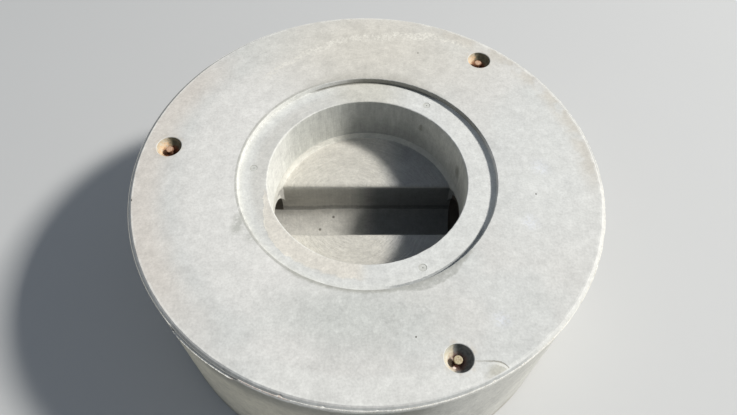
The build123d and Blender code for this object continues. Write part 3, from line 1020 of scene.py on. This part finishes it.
def inner_concrete():
    """The seat, the shaft, the channel and the pipe passages."""
    s = Shading("inner_concrete")
    colour, milk = seat_tones(s, base_tone(s))
    within = s.ramp(s.r, SHAFT_RADIUS + 0.004, SHAFT_RADIUS + 0.001)
    low = s.times(within, s.ramp(s.z, COVE_TOP + 0.001, COVE_TOP - 0.001))

    # Wavering height for the darker band low in the channel and the edge of the passages' floor, and
    # silt drawn out along the flow
    level = s.frayed(s.z, 0.020, 0.003)
    level = s.math("MULTIPLY_ADD", s.ramp(s.x, -0.17, -0.09), -0.004, level)
    flow = s.join(s.times(s.x, 0.30), s.y, s.z)
    silt = s.vary(s.noise(0.010, 4.0, 0.6, place=flow), 0.84, 1.16)

    colour, wall, streaks = wall_tones(s, colour, within)
    colour, bench, trowel = bench_tones(s, colour, low)
    colour, channel, channel_dark_band = channel_tones(s, colour, low, level, silt)
    colour = passage_tones(s, colour, level, silt)
    forms = (
        (wall, streaks, 0.00045),
        (bench, trowel, 0.0040),
        (channel, s.noise(0.006, 4.0, 0.7), 0.0007),
        (channel_dark_band, 1.0, -0.0010),
        (milk, 1.0, 0.0003),
    )
    return concrete_surface(s, s.scale(colour, mottling(s)), forms)


def pocket_concrete():
    """The dished pockets round the lifting anchors."""
    s = Shading("pocket_concrete")
    return concrete_surface(s, pocket_tones(s, s.scale(base_tone(s), mottling(s))), ())


def fin_cement():
    """Pale crumbly cement of the mould fin, pinkish where it broke away, dull at the left, with
    painted shade on the top of its sheet at the front left.
    """
    s = Shading("fin_cement")
    around = s.join(s.times(s.angle, SIDE_RADIUS), s.z, 0.0)
    crumbs = s.noise(0.0035, 4.0, 0.7, place=around)
    tone = s.mix(s.ramp(crumbs, 0.32, 0.55), (212, 205, 190), (245, 243, 235))
    broken = s.times(
        s.sector(-118, -107, radians(1.5)),
        s.ramp(s.noise(0.006, place=around), 0.38, 0.52),
    )
    tone = s.tint(tone, (204, 184, 172), broken, 0.65)
    grime = s.ramp(s.noise(0.030, 3.0, place=around), 0.56, 0.70)
    tone = s.tint(tone, (170, 164, 148), grime, 0.40)
    tone = s.tint(tone, (150, 149, 142), s.ramp(s.x, -0.420, -0.45), 0.85)
    # Painted shade on the top of the fin's sheet at the front left.
    shaded_sheet_top = s.times(s.sector(-136, -117.5, 0.01), s.ramp(s.z, TOP - 0.0100, TOP - 0.0092))
    tone = s.tint(tone, (128, 129, 126), shaded_sheet_top, 0.9)
    return s.finish(tone, s.vary(crumbs, 0.8, 0.95), s.times(crumbs, 0.0006))


def rusted_steel():
    """Forged steel under light rust, darker in the pits, below the heads and on two edges."""
    s = Shading("rusted_steel")
    pits = s.noise(0.0022, 4.0, 0.7)
    raised = s.ramp(pits, 0.30, 0.60)
    tone = s.mix(raised, (172, 122, 92), (220, 184, 154))
    dry = s.mix(raised, (158, 134, 104), (206, 194, 160))
    tone = s.mix(s.times(s.ramp(s.x, 0.0, 0.1), s.ramp(s.y, 0.0, -0.1)), tone, dry)
    flakes = s.patches(0.0050, 0.50, 0.62)
    tone = s.tint(tone, (226, 212, 188), flakes, 0.45)
    tone = s.tint(tone, (128, 84, 58), s.patches(0.0034, 0.56, 0.66), 0.6)
    below = s.ramp(s.z, HEAD_LEVEL - 0.0008, HEAD_LEVEL - 0.004)
    tone = s.tint(tone, (84, 46, 28), below, 0.85)
    for point in ANCHOR_POINTS[:2]:
        across = s.math("SUBTRACT", s.x, point.x)
        reach = s.frayed(s.distance(s.flat, (*point, 0.0)), 0.004, 0.0016)
        edge = s.times(s.between(reach, 0.0078, 0.0110, 0.0012), s.ramp(across, -0.002, 0.004))
        tone = s.tint(tone, (104, 62, 38), edge, 0.8)
    return s.finish(tone, s.vary(pits, 0.62, 0.88), s.times(pits, 0.0004))


# Camera at the photograph's viewing angle

def photograph_camera():
    """Camera worked out from the casting's outline, seat and shaft in the photograph."""
    heading, down, roll = radians(1.713), radians(56.657), radians(1.454)
    forward = Vector((sin(heading) * cos(down), cos(heading) * cos(down), -sin(down)))
    level = Vector((cos(heading), -sin(heading), 0))
    above = level.cross(forward)
    right = level * cos(roll) + above * sin(roll)
    up = above * cos(roll) - level * sin(roll)
    data = bpy.data.cameras.new("camera")
    data.sensor_width = 36.0
    data.lens = 29.45
    data.clip_end = 50.0
    camera = bpy.data.objects.new("camera", data)
    turn = Matrix((right, up, -forward)).transposed().to_4x4()
    camera.matrix_world = Matrix.Translation((-0.0224, -0.8957, 1.6799)) @ turn
    bpy.context.scene.collection.objects.link(camera)
    bpy.context.scene.camera = camera


# Studio

def soft_light(name, azimuth, elevation, distance, size, power):
    """A large square lamp that looks at the casting from that direction."""
    data = bpy.data.lights.new(name, "AREA")
    data.shape = "SQUARE"
    data.size = size
    data.energy = power
    data.color = (1.0, 0.985, 0.96)
    lamp = bpy.data.objects.new(name, data)
    a, e = radians(azimuth), radians(elevation)
    away = Vector((cos(a) * cos(e), sin(a) * cos(e), sin(e)))
    lamp.location = Vector((0, 0, TOP * 0.7)) + away * distance
    lamp.rotation_mode = "QUATERNION"
    lamp.rotation_quaternion = away.to_track_quat("Z", "Y")
    bpy.context.scene.collection.objects.link(lamp)


def studio():
    """Pale floor, even surrounding light and one large key lamp from the right."""
    half = 12.0
    mesh = bpy.data.meshes.new("floor")
    corners = [(-half, -half, 0), (half, -half, 0), (half, half, 0), (-half, half, 0)]
    mesh.from_pydata(corners, [], [(0, 1, 2, 3)])
    s = Shading("pale_floor")
    tone = s.scale((207, 207, 205), s.vary(s.noise(0.5, 2.0), 0.985, 1.0))
    mesh.materials.append(s.finish(tone, 0.9, s.times(s.noise(0.004), 0.0001), 0.1))
    floor = bpy.data.objects.new("floor", mesh)
    bpy.context.scene.collection.objects.link(floor)
    world = bpy.data.worlds.new("studio")
    world.use_nodes = True
    world.node_tree.nodes["Background"].inputs["Color"].default_value = (0.84, 0.95, 1.12, 1)
    world.node_tree.nodes["Background"].inputs["Strength"].default_value = 0.22
    bpy.context.scene.world = world
    soft_light("key", azimuth=3.4, elevation=44.0, distance=16.0, size=2.0, power=2880.0)


# Making

photograph_camera()
studio()
bpy.context.scene.view_settings.view_transform = "Standard"

stone = [outer_concrete(), inner_concrete(), pocket_concrete()]
points, faces = fine_casting()
zones = zones_of(points, faces)
casting = mesh_piece("cast_body", worn_casting(points), faces, stone, zones)
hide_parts("manhole_base")
torn_fin(fin_cement())

steel = rusted_steel()
for name in ANCHOR_NAMES:
    nodes[name].material_slots[0].material = steel
